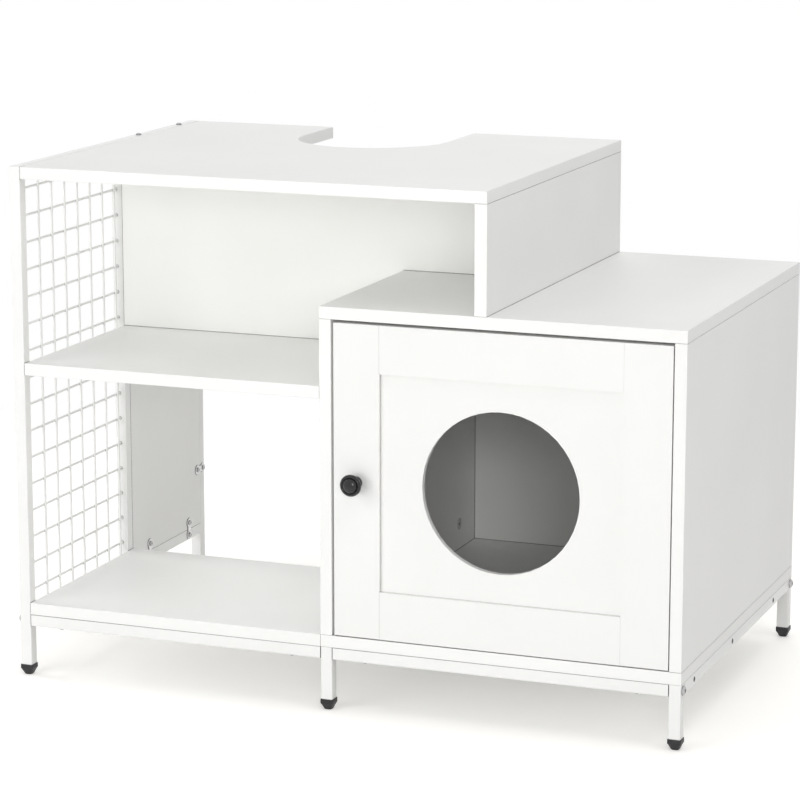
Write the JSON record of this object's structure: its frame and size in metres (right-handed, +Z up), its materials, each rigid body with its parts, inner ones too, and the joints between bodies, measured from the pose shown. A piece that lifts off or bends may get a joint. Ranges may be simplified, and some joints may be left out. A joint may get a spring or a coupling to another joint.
{
  "type": "cat litter box cabinet",
  "caption": "White board and tube-frame cabinet with a round cat hole in its hinged door, an open wire-sided shelf bay and a top board cut out for a sink pipe.",
  "frame": {"origin": "middle of the footprint on the floor, taken over everything that stands out, so a little in front of the middle of the boards because of the knob", "axes": "+X to the right seen from the front, along the width; +Y to the back, so the door faces -Y; +Z up"},
  "size_m": [0.8614, 0.5458, 0.64],
  "materials": {
    "white_board": "white satin laminate on particle board and painted MDF",
    "white_frame": "white powder coat",
    "black_foot": "matte moulded plastic",
    "black_knob": "satin black lacquer",
    "zinc_steel": "bright zinc plate",
    "hinge_steel": "nickel-plated pressed steel"
  },
  "bodies": {
    "cabinet": {"top_board": "white_board", "shelf": "white_board", "left_bottom_board": "white_board", "rear_left_panel": "white_board", "upper_back_panel": "white_board", "upper_right_panel": "white_board", "cabinet_bottom": "white_board", "cabinet_top": "white_board", "cabinet_back": "white_board", "cabinet_left_side": "white_board", "cabinet_right_side": "white_board", "left_side_frame": "white_frame", "mid_leg_frame": "white_frame", "right_leg_frame": "white_frame", "left_front_rail": "white_frame", "left_cross_rail": "white_frame", "cabinet_front_rail": "white_frame", "cabinet_rear_rail": "white_frame", "wire_side": "white_frame", "foot_left_front": "black_foot", "foot_left_rear": "black_foot", "foot_mid_front": "black_foot", "foot_mid_rear": "black_foot", "foot_right_front": "black_foot", "foot_right_rear": "black_foot", "frame_bolt_left_front": "zinc_steel", "frame_bolt_left_mid": "zinc_steel", "frame_bolt_mid_cross": "zinc_steel", "frame_bolt_mid_rear": "zinc_steel", "frame_bolt_right_front": "zinc_steel", "frame_bolt_right_rear": "zinc_steel", "frame_stud_mid_front": "zinc_steel", "mounting_plate_front": "zinc_steel", "mounting_plate_rear": "zinc_steel", "mounting_plate_low": "zinc_steel", "mounting_plate_high": "zinc_steel", "hinge_plate_bottom": "hinge_steel", "hinge_arm_bottom": "hinge_steel", "hinge_plate_screw_bottom_lower": "hinge_steel", "hinge_plate_screw_bottom_upper": "hinge_steel", "hinge_plate_top": "hinge_steel", "hinge_arm_top": "hinge_steel", "hinge_plate_screw_top_lower": "hinge_steel", "hinge_plate_screw_top_upper": "hinge_steel"},
    "door": {"door_left_stile": "white_board", "door_right_stile": "white_board", "door_bottom_rail": "white_board", "door_top_rail": "white_board", "door_panel": "white_board", "knob": "black_knob", "knob_screw": "zinc_steel", "hinge_cup_bottom": "hinge_steel", "hinge_cup_screw_bottom_lower": "hinge_steel", "hinge_cup_screw_bottom_upper": "hinge_steel", "hinge_cup_top": "hinge_steel", "hinge_cup_screw_top_lower": "hinge_steel", "hinge_cup_screw_top_upper": "hinge_steel"},
    "top_link": {"hinge_link_top": "hinge_steel"},
    "bottom_link": {"hinge_link_bottom": "hinge_steel"}
  },
  "joints": [
    {"name": "door_hinge", "type": "hinge", "parent": "cabinet", "child": "door", "pos_m": [0.4013, -0.24393, 0.2854], "axis": [0, 0, 1], "range_deg": [0, 100]},
    {"name": "top_link_pivot", "type": "hinge", "parent": "cabinet", "child": "top_link", "pos_m": [0.3823, -0.22943, 0.4005], "axis": [0, 0, 1], "range_deg": [-26, 0]},
    {"name": "bottom_link_pivot", "type": "hinge", "parent": "cabinet", "child": "bottom_link", "pos_m": [0.3823, -0.22943, 0.17025], "axis": [0, 0, 1], "range_deg": [-26, 0]}
  ],
  "couplings": [
    {"joint": "top_link_pivot", "follows": "door_hinge", "ratio": -0.2583},
    {"joint": "bottom_link_pivot", "follows": "door_hinge", "ratio": -0.2583}
  ]
}
